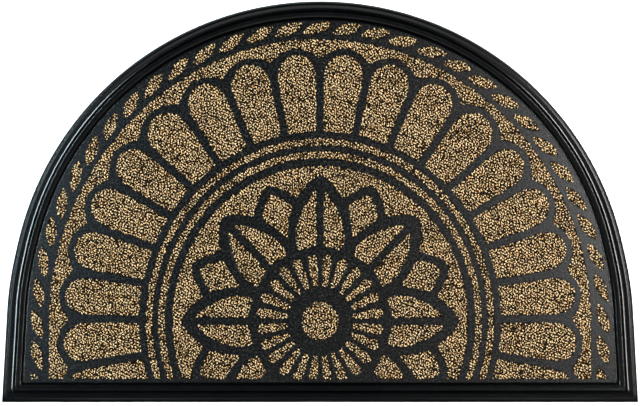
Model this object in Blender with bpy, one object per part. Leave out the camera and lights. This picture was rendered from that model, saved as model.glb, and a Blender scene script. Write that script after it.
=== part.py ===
"""Half-round doormat.

A moulded rubber tray with a stepped rim holds a carpet of short pile. The pile stands in
islands that make a rosette, two rings, an arcade of round-topped windows and a border of
slanting leaves. A flat rubber tracery fills the channels between the islands.

Lengths are in millimetres from the middle of the mat's box, and metres() turns a point
into Blender's units. The long straight edge runs along X, at the lowest Y.
"""

import math

import bmesh
import bpy

MM = 0.001

# The whole mat.
WIDTH = 762.0
DEPTH = 480.0
GAP = 0.3

# The foot line: a half round, whose sides flare out below FLARE_Y to the full width.
FOOT_RADIUS = 370.8
FLARE_Y = -60.0
FLARE_EASE = 14.0
ARC_STEPS = 56
SIDE_STEPS = 3

# The skirt between the foot line and the bead is widest at the sides.
SKIRT_TOP = 9.4
SKIRT_SIDE = 11.4
SKIRT_BOTTOM = 10.1

# Rim profile: share of the skirt crossed, inset past the bead, height.
RIM_PROFILE = (
    (0.00, 0.0, 0.0),
    (0.00, 0.0, 3.5),
    (0.22, 0.0, 5.2),
    (0.36, 0.0, 5.6),
    (0.93, 0.0, 4.0),
    (0.95, 0.0, 7.2),
    (1.00, 0.3, 8.0),
    (1.00, 1.1, 7.2),
    (1.00, 1.4, 4.9),
    (1.00, 2.6, 6.2),
    (1.00, 4.6, 7.5),
    (1.00, 9.5, 7.2),
    (1.00, 11.0, 3.8),
    (1.00, 12.3, 6.1),
    (1.00, 13.9, 6.1),
    (1.00, 13.9, 3.0),
)
BED_INSET = RIM_PROFILE[-1][1]
BED_TOP = RIM_PROFILE[-1][2]

# Carpet and tracery lie in the bed, one above the other.
BACKING_THICK = 1.0
BACKING_TOP = BED_TOP + GAP + BACKING_THICK
TRACERY_THICK = 1.2
TRACERY_BOTTOM = BACKING_TOP + GAP
TRACERY_TOP = TRACERY_BOTTOM + TRACERY_THICK
PILE_TOP = 8.4
ROOT_OVERLAP = 0.5
WELD = 0.01

# The pattern is drawn round one centre, and is RISE times as tall as it is wide.
# It stops at a straight line above the long edge.
PATTERN_Y = -142.9
RISE = 1.05
PATTERN_FOOT_Y = -211.6
LOWEST_DEGREES = -33.0
SMALLEST_ISLAND = 30.0
SWELL_POWER = 8

# Rosette: a disc, spokes, then petals that alternate with buds.
DISC_RADIUS = 21.6
DISC_STEPS = 20
SPOKES = 24
PETALS = 8

# One side of each piece: distance along its own axis, distance across it.
SPOKE_SIDE = (
    (39.8, 2.7),
    (70.0, 5.6),
    (74.2, 4.0),
    (76.2, 0.0),
)
PETAL_HALF = (
    (86.5, 4.5),
    (84.2, 14.5),
    (80.6, 25.2),
    (89.0, 28.8),
    (104.0, 28.8),
    (120.0, 23.6),
    (132.0, 18.0),
    (142.0, 11.4),
    (149.6, 4.8),
)
BUD_SIDE = (
    (103.4, 0.0),
    (108.0, 2.9),
    (117.0, 7.2),
    (126.6, 14.2),
    (134.0, 19.2),
    (139.6, 15.8),
    (148.0, 9.2),
    (155.6, 0.0),
)

# Rim of the rubber round the rosette: degrees from a petal's axis, radius.
ROSETTE_EDGE = (
    (0.0, 166.8),
    (2.5, 163.4),
    (5.0, 158.6),
    (8.0, 151.4),
    (11.2, 143.0),
    (14.0, 149.0),
    (16.0, 154.4),
    (19.0, 162.4),
    (22.5, 166.2),
)

# Round bands of pile: inner radius, outer radius.
INNER_FIELD_RADIUS = 176.4
RING_BANDS = (
    (186.0, 193.2),
    (200.8, 208.0),
)
BAND_STEP = 5.0

# Arcade of windows and the scalloped line above it. Right half of the ribs between the
# windows, from the middle one down: degrees at the foot, degrees at the top.
RIBS = (
    (90.0, 90.0),
    (78.8, 78.6),
    (67.4, 67.1),
    (56.0, 55.6),
    (44.7, 43.6),
    (33.8, 32.7),
    (22.8, 21.8),
    (11.6, 11.0),
    (0.6, 0.6),
    (-10.4, -10.1),
    (-21.4, -20.8),
)
RIB_FOOT_HALF = 1.2
RIB_TOP_HALF = 1.05
ARCADE_SWELL = 0.006
WINDOW_FOOT_RADIUS = 216.6
WINDOW_SPRING_RADIUS = 278.4
WINDOW_PEAK = 26.0
WINDOW_TOP_STEPS = 8
SCALLOP_RADIUS = 312.2
SCALLOP_DROP = 13.0
SCALLOP_POWER = 1.8
SCALLOP_STEPS = 6
OUTER_FIELD_RADIUS = 320.8
OUTER_FIELD_SWELL = 0.009

# Border of leaves.
LEAF_PITCH = 6.0
LEAF_MIDDLE = 90.5
LEAVES_EACH_WAY = 17
LEAF_RADIUS = 334.0
LEAF_SWELL = 0.013
LEAF_LENGTH = 36.6
LEAF_WIDTH = 12.2
LEAF_TILT = 18.0
LEAF_STATIONS = (0.72, 0.28, -0.28, -0.72)
LEAF_POWER = 2.2

RUBBER_COLOUR = (0.018, 0.020, 0.024)
RUBBER_ROUGHNESS = 0.5
PILE_COLOUR = (0.36, 0.25, 0.13)
PILE_ROUGHNESS = 0.95


def metres(point, height=0.0):
    """A point of the plan at a height, in Blender's units."""
    return (point[0] * MM, point[1] * MM, height * MM)


# Outline of the mat


def flare(y):
    """How far the side stands out past the half round at this depth."""

    def eased(depth):
        return (depth + math.hypot(depth, FLARE_EASE)) / 2

    full = WIDTH / 2 - FOOT_RADIUS
    return full * eased(FLARE_Y - y) / eased(FLARE_Y + DEPTH / 2)


def half_round(radius, top_y, bottom_y):
    """Closed half round with flared sides and square lower corners, anticlockwise."""
    centre_y = top_y - radius
    side = [bottom_y + (centre_y - bottom_y) * step / SIDE_STEPS for step in range(SIDE_STEPS)]
    right = [(radius + flare(y), y) for y in side]
    arc = []
    for step in range(ARC_STEPS + 1):
        angle = math.pi * step / ARC_STEPS
        y = centre_y + radius * math.sin(angle)
        arc.append(((radius + flare(y)) * math.cos(angle), y))
    left = [(-x, y) for x, y in reversed(right)]
    return right + arc + left


def rim_line(skirt_share, inset):
    """A line of the rim, some way in from the foot line."""
    radius = FOOT_RADIUS - skirt_share * SKIRT_SIDE - inset
    top_y = DEPTH / 2 - skirt_share * SKIRT_TOP - inset
    bottom_y = -DEPTH / 2 + skirt_share * SKIRT_BOTTOM + inset
    return half_round(radius, top_y, bottom_y)


# Plan of the pattern


def drawn(along, across, degrees):
    """A point given along and across an axis that leaves the centre at this angle."""
    angle = math.radians(degrees)
    x = along * math.cos(angle) - across * math.sin(angle)
    y = along * math.sin(angle) + across * math.cos(angle)
    return (x, PATTERN_Y + RISE * y)


def swollen(radius, amount, degrees):
    """A radius that grows a little at the sides, and then follows a straight side down."""
    sine = math.sin(math.radians(degrees))
    cosine = abs(math.cos(math.radians(degrees)))
    if sine < 0:
        return radius * (1 + amount) / cosine
    return radius * (1 + amount * cosine**SWELL_POWER)


def both_sides(side, degrees):
    """Closed outline of a piece that is the same on both sides of its axis."""
    left = [drawn(along, across, degrees) for along, across in side]
    right = [drawn(along, -across, degrees) for along, across in reversed(side) if across]
    return left[::-1] + right[::-1]


def disc():
    steps = [360 * step / DISC_STEPS for step in range(DISC_STEPS)]
    return [drawn(DISC_RADIUS, 0, degrees) for degrees in steps]


def spokes():
    return [both_sides(SPOKE_SIDE, (spoke + 0.5) * 360 / SPOKES) for spoke in range(SPOKES)]


def petals():
    pieces = []
    for petal in range(PETALS):
        degrees = petal * 360 / PETALS
        for hand in (1, -1):
            pieces.append([drawn(along, hand * across, degrees) for along, across in PETAL_HALF])
    return pieces


def buds():
    return [both_sides(BUD_SIDE, (bud + 0.5) * 360 / PETALS) for bud in range(PETALS)]


def sweep(step):
    """Angles from below the pattern's foot on the right, over the top, to the left."""
    count = round((180 - 2 * LOWEST_DEGREES) / step)
    return [LOWEST_DEGREES + (180 - 2 * LOWEST_DEGREES) * k / count for k in range(count + 1)]


def band(inner, outer):
    """Closed band between two open lines that both run anticlockwise."""
    return outer + inner[::-1]


def round_line(radius):
    return [drawn(radius, 0, degrees) for degrees in sweep(BAND_STEP)]


def rosette_line():
    pitch = 360 / PETALS
    line = []
    for petal in range(-1, PETALS // 2 + 2):
        axis = petal * pitch
        line += [drawn(radius, 0, axis - degrees) for degrees, radius in ROSETTE_EDGE[:0:-1]]
        line += [drawn(radius, 0, axis + degrees) for degrees, radius in ROSETTE_EDGE[:-1]]
    return line


def ribs():
    """All ribs, anticlockwise."""
    left = [(180 - foot, 180 - top) for foot, top in RIBS[1:]]
    return list(RIBS[::-1]) + left


def bays():
    """Each pair of ribs that a window stands between."""
    return list(zip(ribs(), ribs()[1:]))


def scallop_line():
    line = []
    for (_, low), (_, high) in bays():
        for step in range(SCALLOP_STEPS):
            share = step / SCALLOP_STEPS
            radius = SCALLOP_RADIUS - SCALLOP_DROP * abs(2 * share - 1) ** SCALLOP_POWER
            degrees = low + share * (high - low)
            line.append(drawn(swollen(radius, ARCADE_SWELL, degrees), 0, degrees))
    return line


def outer_field_line():
    line = []
    for degrees in sweep(BAND_STEP):
        radius = swollen(OUTER_FIELD_RADIUS, OUTER_FIELD_SWELL, degrees)
        line.append(drawn(radius, 0, degrees))
    return line


def window(low_rib, high_rib):
    """A round-topped window with its foot on a ring, its sides nearly along radii."""
    low_foot = low_rib[0] + RIB_FOOT_HALF
    high_foot = high_rib[0] - RIB_FOOT_HALF
    foot = (high_foot, (low_foot + high_foot) / 2, low_foot)
    outline = [drawn(WINDOW_FOOT_RADIUS, 0, degrees) for degrees in foot]
    middle = (low_rib[1] + high_rib[1]) / 2
    half = (high_rib[1] - low_rib[1]) / 2 - RIB_TOP_HALF
    for step in range(WINDOW_TOP_STEPS + 1):
        turn = math.pi * step / WINDOW_TOP_STEPS
        radius = WINDOW_SPRING_RADIUS + WINDOW_PEAK * math.sin(turn)
        degrees = middle - half * math.cos(turn)
        outline.append(drawn(swollen(radius, ARCADE_SWELL, degrees), 0, degrees))
    return outline


def windows():
    return [window(low_rib, high_rib) for low_rib, high_rib in bays()]


def leaf_place(degrees):
    return drawn(swollen(LEAF_RADIUS, LEAF_SWELL, degrees), 0, degrees)


def leaf(degrees):
    """A pointed leaf that leans out of the border's line, its clockwise tip outermost."""
    middle = leaf_place(degrees)
    before = leaf_place(degrees + LEAF_PITCH / 2)
    after = leaf_place(degrees - LEAF_PITCH / 2)
    lean = math.atan2(after[1] - before[1], after[0] - before[0]) + math.radians(LEAF_TILT)
    stations = [(share, 1 - abs(share) ** LEAF_POWER) for share in LEAF_STATIONS]
    halves = [(1.0, 0.0)] + stations + [(-1.0, 0.0)]
    halves += [(share, -width) for share, width in reversed(stations)]
    outline = []
    for share, width in halves:
        along = share * LEAF_LENGTH / 2
        across = width * LEAF_WIDTH / 2
        x = middle[0] + along * math.cos(lean) - across * math.sin(lean)
        y = middle[1] + along * math.sin(lean) + across * math.cos(lean)
        outline.append((x, y))
    return outline


def leaves():
    numbers = range(-LEAVES_EACH_WAY, LEAVES_EACH_WAY + 1)
    return [leaf(LEAF_MIDDLE + LEAF_PITCH * number) for number in numbers]


# Working on outlines


def area(outline):
    """Area of a closed outline, positive where it runs anticlockwise."""
    pairs = zip(outline, outline[1:] + outline[:1])
    return sum(a[0] * b[1] - b[0] * a[1] for a, b in pairs) / 2


def cut_at_foot(outline):
    """The part of an outline above the pattern's foot line."""
    kept = []
    for a, b in zip(outline, outline[1:] + outline[:1]):
        if a[1] >= PATTERN_FOOT_Y:
            kept.append(a)
        if (a[1] >= PATTERN_FOOT_Y) != (b[1] >= PATTERN_FOOT_Y):
            share = (PATTERN_FOOT_Y - a[1]) / (b[1] - a[1])
            kept.append((a[0] + share * (b[0] - a[0]), PATTERN_FOOT_Y))
    return kept


def widened(outline, distance):
    """The outline moved outwards by a distance, with sharp corners."""
    moved = []
    for before, here, after in zip(outline[-1:] + outline[:-1], outline, outline[1:] + outline[:1]):
        first = math.atan2(here[1] - before[1], here[0] - before[0]) - math.pi / 2
        second = math.atan2(after[1] - here[1], after[0] - here[0]) - math.pi / 2
        middle_x = math.cos(first) + math.cos(second)
        middle_y = math.sin(first) + math.sin(second)
        reach = distance / (1 + math.cos(first - second))
        moved.append((here[0] + reach * middle_x, here[1] + reach * middle_y))
    return moved


def islands():
    """Outlines of all the pile islands, anticlockwise."""
    pieces = [disc()] + spokes() + petals() + buds()
    pieces.append(band(rosette_line(), round_line(INNER_FIELD_RADIUS)))
    pieces += [band(round_line(inner), round_line(outer)) for inner, outer in RING_BANDS]
    pieces += windows()
    pieces.append(band(scallop_line(), outer_field_line()))
    pieces += leaves()
    cut = [cut_at_foot(piece) for piece in pieces]
    large = [piece for piece in cut if abs(area(piece)) > SMALLEST_ISLAND]
    return [piece if area(piece) > 0 else piece[::-1] for piece in large]


# Solids


def new_material(name, colour, roughness):
    material = bpy.data.materials.new(name)
    material.use_nodes = True
    shader = material.node_tree.nodes["Principled BSDF"]
    shader.inputs["Base Color"].default_value = (*colour, 1.0)
    shader.inputs["Roughness"].default_value = roughness
    shader.inputs["Metallic"].default_value = 0.0
    return material


def new_object(name, mesh, collection, parent=None):
    piece = bpy.data.objects.new(name, mesh)
    collection.objects.link(piece)
    piece.parent = parent
    return piece


def flat_solid(name, outlines, bottom, top, collection, parent=None):
    """A slab with these outlines; one that lies inside another is a hole in it."""
    curve = bpy.data.curves.new(name + "_outline", "CURVE")
    curve.dimensions = "2D"
    curve.fill_mode = "BOTH"
    curve.extrude = (top - bottom) / 2 * MM
    for outline in outlines:
        spline = curve.splines.new("POLY")
        spline.points.add(len(outline) - 1)
        for point, place in zip(spline.points, outline):
            point.co = (*metres(place), 1.0)
        spline.use_cyclic_u = True
    guide = new_object(curve.name, curve, collection)
    graph = bpy.context.evaluated_depsgraph_get()
    mesh = bpy.data.meshes.new_from_object(guide.evaluated_get(graph))
    mesh.name = name
    bpy.data.objects.remove(guide)
    work = bmesh.new()
    work.from_mesh(mesh)
    bmesh.ops.remove_doubles(work, verts=work.verts, dist=WELD * MM)
    bmesh.ops.recalc_face_normals(work, faces=work.faces)
    work.to_mesh(mesh)
    work.free()
    slab = new_object(name, mesh, collection, parent)
    slab.location.z = (bottom + top) / 2 * MM
    return slab


def tray(collection, parent):
    """The rubber tray: the rim's profile carried round lines of unlike shape."""
    work = bmesh.new()
    rings = []
    for skirt_share, inset, height in RIM_PROFILE:
        line = rim_line(skirt_share, inset)
        rings.append([work.verts.new(metres(point, height)) for point in line])
    for low, high in zip(rings, rings[1:]):
        for k in range(len(low)):
            work.faces.new((low[k - 1], low[k], high[k], high[k - 1]))
    work.faces.new(rings[0])
    work.faces.new(rings[-1])
    bmesh.ops.recalc_face_normals(work, faces=work.faces)
    mesh = bpy.data.meshes.new("rubber_tray")
    work.to_mesh(mesh)
    work.free()
    return new_object("rubber_tray", mesh, collection, parent)


def carpet(bed_line, pile, collection, helpers, parent):
    """The carpet: a thin backing with every island of pile standing on it."""
    bottom = BED_TOP + GAP
    backing = flat_solid("pile_carpet", [bed_line], bottom, BACKING_TOP, collection, parent)
    roots = BACKING_TOP - ROOT_OVERLAP
    standing = flat_solid("pile_islands", pile, roots, PILE_TOP, helpers, parent)
    standing.hide_render = True
    standing.display_type = "WIRE"
    join = backing.modifiers.new("islands", "BOOLEAN")
    join.operation = "UNION"
    join.solver = "EXACT"
    join.object = standing
    return backing


def tracery(bed_line, pile, collection, parent):
    """The rubber between the islands, with a window round each of them."""
    holes = [widened(outline, GAP) for outline in pile]
    outlines = [bed_line] + holes
    return flat_solid("rubber_tracery", outlines, TRACERY_BOTTOM, TRACERY_TOP, collection, parent)


def main():
    for old in list(bpy.data.objects):
        bpy.data.objects.remove(old)
    mat = bpy.data.collections.new("half_round_doormat")
    helpers = bpy.data.collections.new("helpers")
    for collection in (mat, helpers):
        bpy.context.scene.collection.children.link(collection)
    frame = new_object("mat_frame", None, mat)
    rubber = new_material("rubber", RUBBER_COLOUR, RUBBER_ROUGHNESS)
    pile_fibre = new_material("pile", PILE_COLOUR, PILE_ROUGHNESS)

    bed_line = rim_line(1.0, BED_INSET + GAP)
    pile = islands()
    tray(mat, frame).data.materials.append(rubber)
    carpet(bed_line, pile, mat, helpers, frame).data.materials.append(pile_fibre)
    tracery(bed_line, pile, mat, frame).data.materials.append(rubber)


main()
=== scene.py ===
"""Half-round doormat: a fine rubber moulding with short tufted pile set in its islands.

Plan lengths are in millimetres from the middle of the mat's box, as in the CAD source, and
turn into metres where a mesh is made.
"""

import math

import bmesh
import bpy
import numpy as np
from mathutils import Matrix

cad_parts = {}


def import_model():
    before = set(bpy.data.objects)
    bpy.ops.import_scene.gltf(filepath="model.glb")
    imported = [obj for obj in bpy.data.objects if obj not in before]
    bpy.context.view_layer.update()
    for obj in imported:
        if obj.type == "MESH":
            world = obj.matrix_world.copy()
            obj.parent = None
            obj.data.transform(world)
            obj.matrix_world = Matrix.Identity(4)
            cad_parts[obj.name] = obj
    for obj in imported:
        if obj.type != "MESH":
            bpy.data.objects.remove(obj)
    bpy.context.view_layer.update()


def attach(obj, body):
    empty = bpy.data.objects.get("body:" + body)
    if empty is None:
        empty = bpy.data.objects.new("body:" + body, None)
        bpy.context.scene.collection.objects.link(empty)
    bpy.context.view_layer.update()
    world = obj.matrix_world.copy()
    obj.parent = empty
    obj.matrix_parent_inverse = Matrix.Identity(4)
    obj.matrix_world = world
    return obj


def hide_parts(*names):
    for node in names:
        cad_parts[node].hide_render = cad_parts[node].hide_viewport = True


MM = 0.001

# The whole mat and its rim.
WIDTH = 762.0
DEPTH = 480.0
FOOT_RADIUS = 370.8
FLARE_Y = -60.0
FLARE_EASE = 14.0
ARC_STEPS = 240
SIDE_STEPS = 12
SKIRT_TOP = 9.4
SKIRT_SIDE = 11.4
SKIRT_BOTTOM = 10.1

# Corners of the rim's section: way across it, height, and how far the rounding reaches along
# the sides next to the corner. The part up to SECTION_SKIRT across is fitted to the skirt's own
# width at the top, the sides and the bottom.
SECTION_SKIRT = 10.4
RIM_CORNERS = (
    (0.0, 0.0, 0.0),
    (0.0, 3.0, 0.25),
    (2.8, 5.3, 0.15),
    (5.2, 5.66, 0.5),
    (9.6, 4.5, 0.3),
    (9.8, 6.8, 0.3),
    (10.8, 7.3, 0.4),
    (11.7, 7.57, 0.3),
    (11.85, 4.9, 0.2),
    (12.2, 4.9, 0.2),
    (13.5, 6.5, 0.3),
    (14.8, 7.4, 0.28),
    (17.6, 7.2, 1.0),
    (20.2, 6.7, 0.5),
    (21.9, 3.6, 0.25),
    (23.6, 6.1, 0.4),
    (24.6, 6.0, 0.4),
    (24.6, 3.0, 0.0),
)
CORNER_STEPS = 5
BED_INSET = 14.2
SKIN_INSET = 13.9

# Heights of the layers.
BACKING_BOTTOM = 3.3
BACKING_TOP = 4.3
SKIN_BOTTOM = 4.6
SKIN_TOP = 5.8
SKIN_ROUNDING = 0.55
HOLE_MARGIN = 0.1
ROOTS_SUNK = 0.1
ROOTS_TOP = 5.4
PILE_TOP = 8.4

# Pattern.
PATTERN_Y = -142.9
RISE = 1.05
PATTERN_FOOT_Y = -211.6
LOWEST_DEGREES = -33.0
SMALLEST_ISLAND = 30.0
SWELL_POWER = 8
DISC_RADIUS = 21.6
DISC_STEPS = 48
SPOKES = 24
PETALS = 8
SPOKE_SIDE = (
    (39.8, 2.7),
    (70.0, 5.6),
    (74.2, 4.0),
    (76.2, 0.0),
)
PETAL_HALF = (
    (86.5, 4.5),
    (84.2, 14.5),
    (80.6, 25.2),
    (89.0, 28.8),
    (104.0, 28.8),
    (120.0, 23.6),
    (132.0, 18.0),
    (142.0, 11.4),
    (149.6, 4.8),
)
BUD_SIDE = (
    (103.4, 0.0),
    (108.0, 2.9),
    (117.0, 7.2),
    (126.6, 14.2),
    (134.0, 19.2),
    (139.6, 15.8),
    (148.0, 9.2),
    (155.6, 0.0),
)
ROSETTE_EDGE = (
    (0.0, 166.8),
    (2.5, 163.4),
    (5.0, 158.6),
    (8.0, 151.4),
    (11.2, 143.0),
    (14.0, 149.0),
    (16.0, 154.4),
    (19.0, 162.4),
    (22.5, 166.2),
)
INNER_FIELD_RADIUS = 176.4
RING_BANDS = (
    (186.0, 193.2),
    (200.8, 208.0),
)
BAND_STEP = 2.0
RIBS = (
    (90.0, 90.0),
    (78.8, 78.6),
    (67.4, 67.1),
    (56.0, 55.6),
    (44.7, 43.6),
    (33.8, 32.7),
    (22.8, 21.8),
    (11.6, 11.0),
    (0.6, 0.6),
    (-10.4, -10.1),
    (-21.4, -20.8),
)
RIB_FOOT_HALF = 1.2
RIB_TOP_HALF = 1.05
ARCADE_SWELL = 0.006
WINDOW_FOOT_RADIUS = 216.6
WINDOW_SPRING_RADIUS = 278.4
WINDOW_PEAK = 26.0
WINDOW_TOP_STEPS = 14
SCALLOP_RADIUS = 312.2
SCALLOP_DROP = 13.0
SCALLOP_POWER = 1.8
SCALLOP_STEPS = 12
OUTER_FIELD_RADIUS = 320.8
OUTER_FIELD_SWELL = 0.009
LEAF_PITCH = 6.0
LEAF_MIDDLE = 90.5
LEAVES_EACH_WAY = 17
LEAF_RADIUS = 334.0
LEAF_SWELL = 0.013
LEAF_LENGTH = 36.6
LEAF_WIDTH = 12.2
LEAF_TILT = 18.0
LEAF_STATIONS = (0.93, 0.8, 0.6, 0.35, 0.1, -0.1, -0.35, -0.6, -0.8, -0.93)
LEAF_POWER = 2.2

# Outlines: the least divisor when a sharp corner is moved out, and the cosine below which a turn
# counts as sharp.
LEAST_DIVISOR = 0.4
SHARP_TURN = 0.86
POINTS_AT_A_TIME = 2000

# Pile: short leaning fibres that crowd into curls and part into dark gaps between them.
FIBRE_PITCH = 0.88
FIBRE_JITTER = 0.4
FIBRE_HALF = 0.56
FIBRE_WIDTHS = (0.8, 1.25)
FIBRE_FOOT = 5.2
FIBRE_LEAN = 1.1
LEAN_SOFTENING = 0.4
LEAN_SCATTER = 0.25
LEAN_WAVE = (5.5, 9.0)
CURL_WAVE = (2.2, 3.9)
WAVES = 60
CURL_HEIGHT = 0.9
CURL_LIMITS = (-1.6, 1.1)
MEAN_TIP_DROP = 1.0
TIP_SCATTER = 0.2
LOWEST_FIBRE = 6.0
EDGE_PITCH = 0.74
EDGE_INSET = 0.5
EDGE_CLEARANCE = 0.3
EDGE_REACH = 0.3
EDGE_SCATTER = 0.35
STRAY_SHARE = 0.12
STRAY_REACH = 1.3
ROOTS_INSET = 0.4

# Each fibre's tone, from near black at 0 to cream at 1, follows the curl, which also sets how low its
# tip stands. This is partly the pile's own mixed colours and partly painted shade: the low fibres in the
# gaps between curls are coloured near black.
TONE_MIDDLE = -0.26
TONE_SWING = 1.25
TONE_SCATTER = 0.12
TINTS = 16
SEED = 11


def metres(point, height=0.0):
    return (point[0] * MM, point[1] * MM, height * MM)


def flare(y):
    """How far the side stands out past the half round at this depth."""

    def eased(depth):
        return (depth + math.hypot(depth, FLARE_EASE)) / 2

    full = WIDTH / 2 - FOOT_RADIUS
    return full * eased(FLARE_Y - y) / eased(FLARE_Y + DEPTH / 2)


def half_round(radius, top_y, bottom_y):
    """Closed half round with flared sides and square lower corners, anticlockwise."""
    centre_y = top_y - radius
    side = [bottom_y + (centre_y - bottom_y) * step / SIDE_STEPS for step in range(SIDE_STEPS)]
    right = [(radius + flare(y), y) for y in side]
    arc = []
    for step in range(ARC_STEPS + 1):
        angle = math.pi * step / ARC_STEPS
        y = centre_y + radius * math.sin(angle)
        arc.append(((radius + flare(y)) * math.cos(angle), y))
    left = [(-x, y) for x, y in reversed(right)]
    return [(0.0, bottom_y)] + right + arc + left


def rim_line(skirt_share, inset):
    """A line of the rim, some way in from the foot line."""
    radius = FOOT_RADIUS - skirt_share * SKIRT_SIDE - inset
    top_y = DEPTH / 2 - skirt_share * SKIRT_TOP - inset
    bottom_y = -DEPTH / 2 + skirt_share * SKIRT_BOTTOM + inset
    return half_round(radius, top_y, bottom_y)


def drawn(along, across, degrees):
    """A point given along and across an axis that leaves the centre at this angle."""
    angle = math.radians(degrees)
    x = along * math.cos(angle) - across * math.sin(angle)
    y = along * math.sin(angle) + across * math.cos(angle)
    return (x, PATTERN_Y + RISE * y)


def swollen(radius, amount, degrees):
    """A radius that grows a little at the sides, and then follows a straight side down."""
    sine = math.sin(math.radians(degrees))
    cosine = abs(math.cos(math.radians(degrees)))
    if sine < 0:
        return radius * (1 + amount) / cosine
    return radius * (1 + amount * cosine**SWELL_POWER)


def both_sides(side, degrees):
    """Closed outline of a piece that is the same on both sides of its axis."""
    left = [drawn(along, across, degrees) for along, across in side]
    right = [drawn(along, -across, degrees) for along, across in reversed(side) if across]
    return left[::-1] + right[::-1]


def disc():
    steps = [360 * step / DISC_STEPS for step in range(DISC_STEPS)]
    return [drawn(DISC_RADIUS, 0, degrees) for degrees in steps]


def spokes():
    return [both_sides(SPOKE_SIDE, (spoke + 0.5) * 360 / SPOKES) for spoke in range(SPOKES)]


def petals():
    pieces = []
    for petal in range(PETALS):
        degrees = petal * 360 / PETALS
        for hand in (1, -1):
            pieces.append([drawn(along, hand * across, degrees) for along, across in PETAL_HALF])
    return pieces


def buds():
    return [both_sides(BUD_SIDE, (bud + 0.5) * 360 / PETALS) for bud in range(PETALS)]


def sweep(step):
    """Angles from below the pattern's foot on the right, over the top, to the left."""
    count = round((180 - 2 * LOWEST_DEGREES) / step)
    return [LOWEST_DEGREES + (180 - 2 * LOWEST_DEGREES) * k / count for k in range(count + 1)]


def band(inner, outer):
    """Closed band between two open lines that both run anticlockwise."""
    return outer + inner[::-1]


def round_line(radius):
    return [drawn(radius, 0, degrees) for degrees in sweep(BAND_STEP)]


def rosette_line():
    pitch = 360 / PETALS
    line = []
    for petal in range(-1, PETALS // 2 + 2):
        axis = petal * pitch
        line += [drawn(radius, 0, axis - degrees) for degrees, radius in ROSETTE_EDGE[:0:-1]]
        line += [drawn(radius, 0, axis + degrees) for degrees, radius in ROSETTE_EDGE[:-1]]
    return line


def ribs():
    """All ribs, anticlockwise."""
    left = [(180 - foot, 180 - top) for foot, top in RIBS[1:]]
    return list(RIBS[::-1]) + left


def bays():
    """Each pair of ribs that a window stands between."""
    return list(zip(ribs(), ribs()[1:]))


def scallop_line():
    line = []
    for (_, low), (_, high) in bays():
        for step in range(SCALLOP_STEPS):
            share = step / SCALLOP_STEPS
            radius = SCALLOP_RADIUS - SCALLOP_DROP * abs(2 * share - 1) ** SCALLOP_POWER
            degrees = low + share * (high - low)
            line.append(drawn(swollen(radius, ARCADE_SWELL, degrees), 0, degrees))
    return line


def outer_field_line():
    line = []
    for degrees in sweep(BAND_STEP):
        radius = swollen(OUTER_FIELD_RADIUS, OUTER_FIELD_SWELL, degrees)
        line.append(drawn(radius, 0, degrees))
    return line


def window(low_rib, high_rib):
    """A round-topped window with its foot on a ring, its sides nearly along radii."""
    low_foot = low_rib[0] + RIB_FOOT_HALF
    high_foot = high_rib[0] - RIB_FOOT_HALF
    foot = (high_foot, (low_foot + high_foot) / 2, low_foot)
    outline = [drawn(WINDOW_FOOT_RADIUS, 0, degrees) for degrees in foot]
    middle = (low_rib[1] + high_rib[1]) / 2
    half = (high_rib[1] - low_rib[1]) / 2 - RIB_TOP_HALF
    for step in range(WINDOW_TOP_STEPS + 1):
        turn = math.pi * step / WINDOW_TOP_STEPS
        radius = WINDOW_SPRING_RADIUS + WINDOW_PEAK * math.sin(turn)
        degrees = middle - half * math.cos(turn)
        outline.append(drawn(swollen(radius, ARCADE_SWELL, degrees), 0, degrees))
    return outline


def windows():
    return [window(low_rib, high_rib) for low_rib, high_rib in bays()]


def leaf_place(degrees):
    return drawn(swollen(LEAF_RADIUS, LEAF_SWELL, degrees), 0, degrees)


def leaf(degrees):
    """A pointed leaf that leans out of the border's line, its clockwise tip outermost."""
    middle = leaf_place(degrees)
    before = leaf_place(degrees + LEAF_PITCH / 2)
    after = leaf_place(degrees - LEAF_PITCH / 2)
    lean = math.atan2(after[1] - before[1], after[0] - before[0]) + math.radians(LEAF_TILT)
    stations = [(share, 1 - abs(share) ** LEAF_POWER) for share in LEAF_STATIONS]
    halves = [(1.0, 0.0)] + stations + [(-1.0, 0.0)]
    halves += [(share, -width) for share, width in reversed(stations)]
    outline = []
    for share, width in halves:
        along = share * LEAF_LENGTH / 2
        across = width * LEAF_WIDTH / 2
        x = middle[0] + along * math.cos(lean) - across * math.sin(lean)
        y = middle[1] + along * math.sin(lean) + across * math.cos(lean)
        outline.append((x, y))
    return outline


def leaves():
    numbers = range(-LEAVES_EACH_WAY, LEAVES_EACH_WAY + 1)
    return [leaf(LEAF_MIDDLE + LEAF_PITCH * number) for number in numbers]


def area(outline):
    """Area of a closed outline, positive where it runs anticlockwise."""
    pairs = zip(outline, outline[1:] + outline[:1])
    return sum(a[0] * b[1] - b[0] * a[1] for a, b in pairs) / 2


def cut_at_foot(outline):
    """The part of an outline above the pattern's foot line."""
    kept = []
    for a, b in zip(outline, outline[1:] + outline[:1]):
        if a[1] >= PATTERN_FOOT_Y:
            kept.append(a)
        if (a[1] >= PATTERN_FOOT_Y) != (b[1] >= PATTERN_FOOT_Y):
            share = (PATTERN_FOOT_Y - a[1]) / (b[1] - a[1])
            kept.append((a[0] + share * (b[0] - a[0]), PATTERN_FOOT_Y))
    return kept


def neighbours(outline):
    """Each point of a closed outline with the ones before and after it."""
    return zip(outline[-1:] + outline[:-1], outline, outline[1:] + outline[:1])


def widened(outline, distance):
    """The outline moved outwards by a distance, with sharp corners."""
    moved = []
    for before, here, after in neighbours(outline):
        first = math.atan2(here[1] - before[1], here[0] - before[0]) - math.pi / 2
        second = math.atan2(after[1] - here[1], after[0] - here[0]) - math.pi / 2
        middle_x = math.cos(first) + math.cos(second)
        middle_y = math.sin(first) + math.sin(second)
        reach = distance / max(LEAST_DIVISOR, 1 + math.cos(first - second))
        moved.append((here[0] + reach * middle_x, here[1] + reach * middle_y))
    return moved


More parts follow.
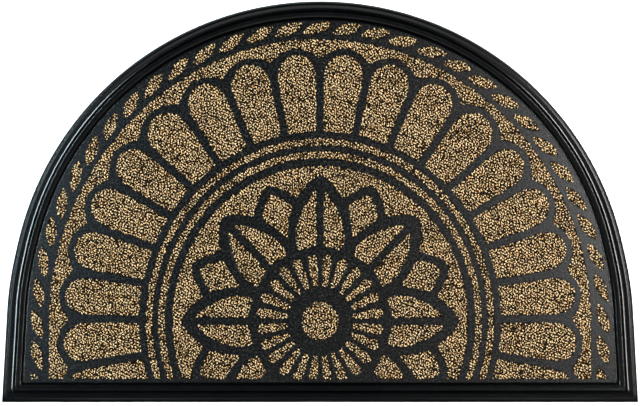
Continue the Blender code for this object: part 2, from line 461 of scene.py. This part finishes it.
def softened(outline, rounds=2, sharp_reach=1.3):
    """The outline with its corners cut: by a quarter of each side, but less at a sharp turn."""
    for _ in range(rounds):
        soft = []
        for before, here, after in neighbours(outline):
            back = (before[0] - here[0], before[1] - here[1])
            on = (after[0] - here[0], after[1] - here[1])
            back_length = math.hypot(*back)
            on_length = math.hypot(*on)
            straightness = -(back[0] * on[0] + back[1] * on[1]) / (back_length * on_length)
            reach = min(back_length, on_length) / 4
            if straightness < SHARP_TURN:
                reach = min(reach, sharp_reach)
            for way, length in ((back, back_length), (on, on_length)):
                soft.append((here[0] + way[0] * reach / length, here[1] + way[1] * reach / length))
        outline = soft
        sharp_reach /= 2
    return outline


def prepared(pieces):
    """Outlines cut at the foot line, run anticlockwise and softened, without the smallest."""
    cut = [cut_at_foot(piece) for piece in pieces]
    large = [piece for piece in cut if abs(area(piece)) > SMALLEST_ISLAND]
    ordered = [piece if area(piece) > 0 else piece[::-1] for piece in large]
    return [softened(piece) for piece in ordered]


def island_groups():
    """Outlines of the pile islands by part of the pattern."""
    inner = [band(rosette_line(), round_line(INNER_FIELD_RADIUS))]
    inner += [band(round_line(low), round_line(high)) for low, high in RING_BANDS]
    border = [band(scallop_line(), outer_field_line())] + leaves()
    return {
        "pile_rosette": prepared([disc()] + spokes() + petals() + buds()),
        "pile_rings": prepared(inner),
        "pile_windows": prepared(windows()),
        "pile_border": prepared(border),
    }


# Meshes


def new_object(name, mesh):
    piece = bpy.data.objects.new(name, mesh)
    bpy.context.scene.collection.objects.link(piece)
    return piece


def flat_solid(name, outlines, bottom, top, rounding=0.0):
    """A slab with these outlines; one that lies inside another is a hole in it."""
    curve = bpy.data.curves.new(name + "_outline", "CURVE")
    curve.dimensions = "2D"
    curve.fill_mode = "BOTH"
    curve.extrude = ((top - bottom) / 2 - rounding) * MM
    curve.bevel_depth = rounding * MM
    curve.bevel_resolution = 1
    for outline in outlines:
        spline = curve.splines.new("POLY")
        spline.points.add(len(outline) - 1)
        for point, place in zip(spline.points, outline):
            point.co = (*metres(place), 1.0)
        spline.use_cyclic_u = True
    guide = new_object(curve.name, curve)
    graph = bpy.context.evaluated_depsgraph_get()
    mesh = bpy.data.meshes.new_from_object(guide.evaluated_get(graph))
    mesh.name = name
    bpy.data.objects.remove(guide)
    work = bmesh.new()
    work.from_mesh(mesh)
    bmesh.ops.remove_doubles(work, verts=work.verts, dist=0.01 * MM)
    bmesh.ops.recalc_face_normals(work, faces=work.faces)
    bmesh.ops.translate(work, verts=work.verts, vec=(0, 0, (bottom + top) / 2 * MM))
    work.to_mesh(mesh)
    work.free()
    return new_object(name, mesh)


def section_rows():
    """Rows of the rim's section, with each corner rounded: way across and height."""
    rows = [RIM_CORNERS[0][:2]]
    for before, here, after in zip(RIM_CORNERS, RIM_CORNERS[1:], RIM_CORNERS[2:]):
        across, height, reach = here
        ends = []
        for side in (before, after):
            share = reach / math.hypot(side[0] - across, side[1] - height)
            ends.append((across + share * (side[0] - across), height + share * (side[1] - height)))
        for step in range(CORNER_STEPS + 1):
            t = step / CORNER_STEPS
            weights = ((1 - t) ** 2, 2 * t * (1 - t), t * t)
            points = (ends[0], (across, height), ends[1])
            rows.append(tuple(sum(w * point[k] for w, point in zip(weights, points)) for k in range(2)))
    rows.append(RIM_CORNERS[-1][:2])
    return rows


def moulding():
    """The tray with its rim: the profile carried round lines of unlike shape."""
    work = bmesh.new()
    rings = []
    for across, height in section_rows():
        line = rim_line(min(1.0, across / SECTION_SKIRT), max(0.0, across - SECTION_SKIRT))
        rings.append([work.verts.new(metres(point, height)) for point in line])
    for low, high in zip(rings, rings[1:]):
        for k in range(len(low)):
            face = work.faces.new((low[k - 1], low[k], high[k], high[k - 1]))
            face.smooth = True
    work.faces.new(rings[0])
    work.faces.new(rings[-1])
    bmesh.ops.recalc_face_normals(work, faces=work.faces)
    mesh = bpy.data.meshes.new("rubber_moulding")
    work.to_mesh(mesh)
    work.free()
    return new_object("rubber_moulding", mesh)


# Tufts


def in_parts(work, points):
    """The work's result over all the points, done on a few thousand at a time."""
    parts = np.array_split(points, len(points) // POINTS_AT_A_TIME + 1)
    return np.concatenate([work(part) for part in parts])


def inside(points, outline):
    """Which points lie inside a closed outline."""
    a = np.array(outline)
    b = np.roll(a, -1, 0)
    slope = (b[:, 0] - a[:, 0]) / np.where(b[:, 1] == a[:, 1], 1e-9, b[:, 1] - a[:, 1])

    def part_inside(part):
        x, y = part[:, :1], part[:, 1:]
        spans = (a[:, 1] > y) != (b[:, 1] > y)
        return (spans & (x < a[:, 0] + (y - a[:, 1]) * slope)).sum(1) % 2 == 1

    return in_parts(part_inside, points)


def to_edge(points, outline):
    """Distance from each point to a closed outline."""
    a = np.array(outline)
    step = np.roll(a, -1, 0) - a
    length2 = np.maximum((step**2).sum(1), 1e-12)

    def part_to_edge(part):
        x, y = part[:, :1] - a[:, 0], part[:, 1:] - a[:, 1]
        share = ((x * step[:, 0] + y * step[:, 1]) / length2).clip(0, 1)
        return np.hypot(x - step[:, 0] * share, y - step[:, 1] * share).min(1)

    return in_parts(part_to_edge, points)


def grid_places(rng):
    """A jittered triangular grid over the whole pattern, with the lean of the pile at each place."""
    across = np.arange(-WIDTH / 2, WIDTH / 2, FIBRE_PITCH)
    up = np.arange(PATTERN_FOOT_Y, DEPTH / 2, FIBRE_PITCH * math.sqrt(0.75))
    x, y = np.meshgrid(across, up)
    x[1::2] += FIBRE_PITCH / 2
    places = np.stack([x.ravel(), y.ravel()], 1)
    places += rng.uniform(-FIBRE_JITTER, FIBRE_JITTER, places.shape) * FIBRE_PITCH
    lean = np.stack([ripples(places, LEAN_WAVE, rng) for _ in range(2)], 1)
    lean *= FIBRE_LEAN / (LEAN_SOFTENING + np.hypot(*lean.T)[:, None])
    return np.column_stack([places, lean + rng.normal(0, LEAN_SCATTER, lean.shape)])


def edge_places(outline, rng):
    """Places just inside an outline, and the outward direction at each."""
    a = np.array(outline)
    step = np.roll(a, -1, 0) - a
    length = np.hypot(*step.T)
    run = np.concatenate([[0], np.cumsum(length)])
    count = int(run[-1] / EDGE_PITCH)
    at = (np.arange(count) + rng.uniform(-0.35, 0.35, count)) * run[-1] / count % run[-1]
    side = np.searchsorted(run, at, "right") - 1
    share = (at - run[side]) / length[side]
    out = np.stack([step[side, 1], -step[side, 0]], 1) / length[side, None]
    inset = EDGE_INSET + rng.uniform(-0.35, 0.3, count)
    return a[side] + step[side] * share[:, None] - out * inset[:, None], out


def ripples(points, wave, rng):
    """A random field of one main wavelength, with a mean of 0 and a spread of 1, at each point."""
    bearing = rng.uniform(0, 2 * math.pi, WAVES)
    number = 2 * math.pi / rng.uniform(*wave, WAVES)
    phase = rng.uniform(0, 2 * math.pi, WAVES)
    total = np.zeros(len(points))
    for turn, k, start in zip(bearing, number, phase):
        total += np.cos(k * (points[:, 0] * math.cos(turn) + points[:, 1] * math.sin(turn)) + start)
    return total * math.sqrt(2 / WAVES)


def fibres(outlines, grid, rng):
    """Rows of fibres over these islands: place and lean."""
    rows = []
    for outline in outlines:
        low, high = np.min(outline, 0), np.max(outline, 0)
        near = grid[((grid[:, :2] > low) & (grid[:, :2] < high)).all(1)]
        near = near[inside(near[:, :2], outline)]
        near = near[to_edge(near[:, :2], outline) > EDGE_INSET + EDGE_CLEARANCE]
        edge, out = edge_places(outline, rng)
        reach = np.where(rng.random(len(out)) < STRAY_SHARE, STRAY_REACH, EDGE_REACH)
        edge_lean = out * reach[:, None] + rng.normal(0, EDGE_SCATTER, edge.shape)
        rows.append(near)
        rows.append(np.column_stack([edge, edge_lean]))
    return np.concatenate(rows)


def pile(name, rows, curl, rng):
    """One mesh of three-sided fibres. Each has a tone and a tint, and its rise from root to tip."""
    count = len(rows)
    place, lean = rows[:, :2], rows[:, 2:]
    foot = np.full(count, FIBRE_FOOT)
    # Tone rises with the curl, so the low fibres in the gaps get painted shade on top of their own
    # colour.
    tone = (TONE_MIDDLE + TONE_SWING * curl + TONE_SCATTER * rng.normal(size=count)).clip(0, 1)
    tint = rng.integers(0, TINTS, count)
    top = PILE_TOP - MEAN_TIP_DROP + CURL_HEIGHT * curl.clip(*CURL_LIMITS)
    top = (top + rng.uniform(-TIP_SCATTER, TIP_SCATTER, count)).clip(LOWEST_FIBRE, PILE_TOP)
    turn = rng.uniform(0, 2 * math.pi, count)
    half = FIBRE_HALF * rng.uniform(*FIBRE_WIDTHS, count)
    points = []
    for third in range(3):
        angle = turn + third * 2 * math.pi / 3
        ring = np.stack([np.cos(angle), np.sin(angle)], 1) * half[:, None]
        points.append(np.column_stack([place + ring, foot]))
    points.append(np.column_stack([place + lean, top]))
    points = np.stack(points, 1) * MM
    loops = np.arange(count)[:, None] * 4 + np.array([0, 1, 3, 1, 2, 3, 2, 0, 3])
    loops = loops.ravel()
    mesh = bpy.data.meshes.new(name)
    mesh.vertices.add(count * 4)
    mesh.vertices.foreach_set("co", points.astype(np.float32).ravel())
    mesh.loops.add(len(loops))
    mesh.loops.foreach_set("vertex_index", loops.astype(np.int32))
    mesh.polygons.add(count * 3)
    mesh.polygons.foreach_set("loop_start", np.arange(0, count * 9, 3, dtype=np.int32))
    mesh.polygons.foreach_set("loop_total", np.full(count * 3, 3, np.int32))
    rises = np.tile([0.0, 0.0, 0.0, 1.0], count)
    tones = np.repeat(tone, 4)
    tints = np.repeat(tint / (TINTS - 1), 4)
    for attribute, values in (("tone", tones), ("tint", tints), ("rise", rises)):
        layer = mesh.attributes.new(attribute, "FLOAT", "POINT")
        layer.data.foreach_set("value", values.astype(np.float32))
    # On the map, each tint has a strip, tone runs along it and rise across it.
    u = 0.02 + 0.96 * tones + np.tile([-0.01, 0.01, 0.0, 0.0], count)
    v = (np.repeat(tint, 4) + 0.1 + 0.8 * rises) / TINTS
    layout = mesh.uv_layers.new(name="OFBake")
    layout.data.foreach_set("uv", np.stack([u, v], 1)[loops].astype(np.float32).ravel())
    mesh.update(calc_edges=True)
    mesh.shade_smooth()
    return new_object(name, mesh)


def piles(groups, rng):
    """The pile of each part of the pattern, in a left and a right piece."""
    grid = grid_places(rng)
    pieces = []
    for name, outlines in groups.items():
        rows = fibres(outlines, grid, rng)
        curl = ripples(rows[:, :2], CURL_WAVE, np.random.default_rng(SEED))
        for hand, side in (("left", rows[:, 0] < 0), ("right", rows[:, 0] >= 0)):
            pieces.append(pile(f"{name}_{hand}", rows[side], curl[side], rng))
    return pieces


# Materials


class Nodes:
    """A material's node tree, built a node at a time."""

    def __init__(self, name):
        self.material = bpy.data.materials.new(name)
        self.material.use_nodes = True
        self.tree = self.material.node_tree
        self.shader = self.tree.nodes["Principled BSDF"]

    def add(self, kind, settings=(), **inputs):
        node = self.tree.nodes.new(kind)
        for key, value in dict(settings).items():
            setattr(node, key, value)
        for key, value in inputs.items():
            self.feed(node.inputs[key.replace("_", " ")], value)
        return node

    def feed(self, socket, value):
        if isinstance(value, bpy.types.NodeSocket):
            self.tree.links.new(value, socket)
        else:
            socket.default_value = value

    def ramp(self, factor, stops):
        node = self.add("ShaderNodeValToRGB", Fac=factor)
        elements = node.color_ramp.elements
        while len(elements) < len(stops):
            elements.new(1.0)
        for element, (place, colour) in zip(elements, stops):
            element.position = place
            element.color = (*colour, 1.0)
        return node.outputs["Color"]

    def mix(self, factor, first, second, blend="MIX"):
        node = self.tree.nodes.new("ShaderNodeMix")
        node.data_type = "RGBA"
        node.blend_type = blend
        self.feed(node.inputs[0], factor)
        self.feed(node.inputs[6], first)
        self.feed(node.inputs[7], second)
        return node.outputs[2]

    def noise(self, scale, detail=2.0, roughness=0.5):
        place = self.add("ShaderNodeTexCoord").outputs["Object"]
        return self.add(
            "ShaderNodeTexNoise", Vector=place, Scale=scale, Detail=detail, Roughness=roughness
        ).outputs["Fac"]

    def spread(self, value, low, high, from_low=0.3, from_high=0.7):
        node = self.add("ShaderNodeMapRange")
        for key, part in zip(range(5), (value, from_low, from_high, low, high)):
            self.feed(node.inputs[key], part)
        return node.outputs["Result"]

    def bump(self, height, strength, distance, normal=None):
        node = self.add("ShaderNodeBump", Height=height, Strength=strength, Distance=distance)
        if normal is not None:
            self.feed(node.inputs["Normal"], normal)
        return node.outputs["Normal"]


def rubber_material(name, roughness, gloss, grain_strength, flecks):
    """Black rubber with a share of pale flecks of lint."""
    nodes = Nodes(name)
    cloud = nodes.noise(28.0, 4.0, 0.6)
    grain = nodes.noise(900.0, 2.0, 0.6)
    pores = nodes.noise(330.0, 3.0, 0.55)
    lint = nodes.noise(640.0, 1.0, 0.5)
    colour = nodes.ramp(
        nodes.spread(cloud, 0.0, 1.0),
        [
            (0.0, (0.0001, 0.0002, 0.0003)),
            (0.55, (0.0002, 0.0003, 0.0004)),
            (1.0, (0.0006, 0.0007, 0.0008)),
        ],
    )
    lint_share = nodes.spread(lint, 0.0, flecks, 0.64, 0.76)
    colour = nodes.mix(lint_share, colour, (0.12, 0.11, 0.09, 1.0))
    nodes.feed(nodes.shader.inputs["Base Color"], colour)
    nodes.feed(nodes.shader.inputs["Roughness"], nodes.spread(pores, roughness - 0.03, roughness + 0.03))
    nodes.shader.inputs["Specular IOR Level"].default_value = gloss
    normal = nodes.bump(pores, 0.12 * grain_strength, 0.0003)
    nodes.feed(nodes.shader.inputs["Normal"], nodes.bump(grain, 0.16 * grain_strength, 0.00012, normal))
    return nodes.material


def pile_material():
    nodes = Nodes("speckled_pile")
    tone, tint, rise = (
        nodes.add("ShaderNodeAttribute", {"attribute_name": name}).outputs["Fac"]
        for name in ("tone", "tint", "rise")
    )
    # Tones below about 0.42 are near black: partly the pile's own dark fibres, partly painted shade in
    # the gaps between curls.
    warm = nodes.ramp(
        tone,
        [
            (0.0, (0.002, 0.001, 0.0004)),
            (0.42, (0.012, 0.005, 0.001)),
            (0.6, (0.30, 0.138, 0.032)),
            (0.8, (0.86, 0.50, 0.178)),
            (1.0, (0.92, 0.66, 0.36)),
        ],
    )
    pale = nodes.ramp(
        tone,
        [
            (0.0, (0.003, 0.002, 0.001)),
            (0.42, (0.016, 0.009, 0.004)),
            (0.6, (0.31, 0.165, 0.060)),
            (0.8, (0.88, 0.55, 0.25)),
            (1.0, (0.92, 0.72, 0.46)),
        ],
    )
    fibre = nodes.mix(tint, warm, pale)
    # Painted shade: each fibre's colour darkens from its tip down to its root, as if shaded by its
    # neighbours.
    shade = nodes.ramp(
        rise,
        [
            (0.0, (0.25, 0.2, 0.15)),
            (0.3, (0.9, 0.88, 0.85)),
            (1.0, (1.0, 1.0, 1.0)),
        ],
    )
    nodes.feed(nodes.shader.inputs["Base Color"], nodes.mix(1.0, fibre, shade, "MULTIPLY"))
    nodes.feed(nodes.shader.inputs["Roughness"], nodes.spread(rise, 0.95, 0.72, 0.0, 1.0))
    nodes.shader.inputs["Specular IOR Level"].default_value = 0.08
    return nodes.material


# Painted shade: the roots and the carpet backing under the fibres are coloured near black, standing for
# the shade deep in the pile between the fibres.
def roots_material():
    nodes = Nodes("pile_roots")
    strand = nodes.noise(1500.0, 3.0, 0.6)
    nodes.feed(
        nodes.shader.inputs["Base Color"],
        nodes.ramp(strand, [(0.3, (0.004, 0.0025, 0.001)), (0.7, (0.012, 0.007, 0.003))]),
    )
    nodes.feed(nodes.shader.inputs["Roughness"], nodes.spread(strand, 0.85, 1.0))
    nodes.shader.inputs["Specular IOR Level"].default_value = 0.08
    nodes.feed(nodes.shader.inputs["Normal"], nodes.bump(strand, 0.6, 0.0003))
    return nodes.material


def floor_material():
    nodes = Nodes("pale_floor")
    cloud = nodes.noise(3.0, 2.0)
    nodes.feed(
        nodes.shader.inputs["Base Color"],
        nodes.ramp(cloud, [(0.0, (0.90, 0.90, 0.90)), (1.0, (0.93, 0.93, 0.93))]),
    )
    nodes.shader.inputs["Roughness"].default_value = 0.9
    return nodes.material


# Studio


def look_at(thing, target):
    offset = np.array(target) - np.array(thing.location)
    flat = math.hypot(offset[0], offset[1])
    thing.rotation_euler = (
        math.pi / 2 + math.atan2(offset[2], flat),
        0.0,
        math.atan2(offset[1], offset[0]) - math.pi / 2,
    )


def soft_light(name, place, target, size, power, colour):
    light = bpy.data.lights.new(name, "AREA")
    light.shape = "RECTANGLE"
    light.size, light.size_y = size
    light.energy = power
    light.color = colour
    lamp = new_object(name, light)
    lamp.location = place
    look_at(lamp, target)


CAMERA_HEIGHT = 2.4
SENSOR_WIDTH = 36.0
VIEW_PLANE = 0.004
VIEW_WIDTH = 765.9 * MM
VIEW_CENTRE = (-0.1 * MM, -1.6 * MM)

# Each light's name, place, target, size along and up, power in watts, and colour. The two low
# ones make the thin highlights on the rim.
LIGHTS = (
    ("right_light", (1.52, 0.3, 1.0), (0.2, 0.0, 0.0), (1.8, 0.18), 84.0, (1.0, 0.97, 0.92)),
    ("left_light", (-1.75, 0.45, 1.2), (-0.2, 0.0, 0.0), (1.8, 0.2), 160.0, (0.76, 0.92, 1.0)),
    ("high_right_light", (1.0, 0.15, 2.3), (0.2, 0.0, 0.0), (0.8, 0.4), 37.0, (1.0, 0.99, 0.97)),
    ("high_left_light", (-1.05, 0.1, 2.3), (-0.2, 0.0, 0.0), (0.8, 0.4), 14.0, (0.62, 0.86, 1.0)),
    ("front_light", (0.0, -0.8, 2.4), (0.0, 0.0, 0.0), (1.8, 0.3), 4.0, (1.0, 0.98, 0.95)),
)


def studio():
    camera = bpy.data.cameras.new("camera")
    camera.sensor_width = SENSOR_WIDTH
    camera.lens = SENSOR_WIDTH * (CAMERA_HEIGHT - VIEW_PLANE) / VIEW_WIDTH
    camera.clip_end = 20.0
    eye = new_object("camera", camera)
    eye.location = (*VIEW_CENTRE, CAMERA_HEIGHT)
    bpy.context.scene.camera = eye

    world = bpy.data.worlds.new("studio")
    world.use_nodes = True
    background = world.node_tree.nodes["Background"]
    background.inputs["Color"].default_value = (0.95, 0.97, 1.0, 1.0)
    background.inputs["Strength"].default_value = 0.02
    bpy.context.scene.world = world

    for light in LIGHTS:
        soft_light(*light)

    bpy.ops.mesh.primitive_plane_add(size=8.0)
    floor = bpy.context.object
    floor.name = "pale_floor"
    floor.data.materials.append(floor_material())

    view = bpy.context.scene.view_settings
    view.view_transform = "Standard"
    view.look = "None"


def main():
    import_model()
    rng = np.random.default_rng(SEED)
    rim_rubber = rubber_material("smooth_rubber", 0.2, 0.3, 0.1, 0.015)
    field_rubber = rubber_material("grained_rubber", 0.27, 0.24, 1.0, 0.3)
    fibre = pile_material()
    roots = roots_material()

    tray = moulding()
    tray.data.materials.append(rim_rubber)
    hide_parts("rubber_tray")
    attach(tray, "root")

    groups = island_groups()
    outlines = [outline for group in groups.values() for outline in group]
    holes = [widened(outline, HOLE_MARGIN + SKIN_ROUNDING) for outline in outlines]
    edge = rim_line(1.0, SKIN_INSET)
    skin = flat_solid("rubber_skin", [edge] + holes, SKIN_BOTTOM, SKIN_TOP, SKIN_ROUNDING)
    skin.data.materials.append(field_rubber)
    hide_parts("rubber_tracery")
    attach(skin, "root")

    backing = flat_solid("carpet_backing", [rim_line(1.0, BED_INSET)], BACKING_BOTTOM, BACKING_TOP)
    root_outlines = [widened(outline, -ROOTS_INSET) for outline in outlines]
    mass = flat_solid("pile_roots", root_outlines, BACKING_TOP - ROOTS_SUNK, ROOTS_TOP)
    # Both get the near-black roots colour, painted shade under the fibres.
    for piece in (backing, mass):
        piece.data.materials.append(roots)
    fields = piles(groups, rng)
    for field in fields:
        field.data.materials.append(fibre)
    for piece in (backing, mass, *fields):
        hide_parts("pile_carpet")
        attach(piece, "root")
    cut = area(rim_line(1.0, BED_INSET)) * MM * MM

    studio()


main()
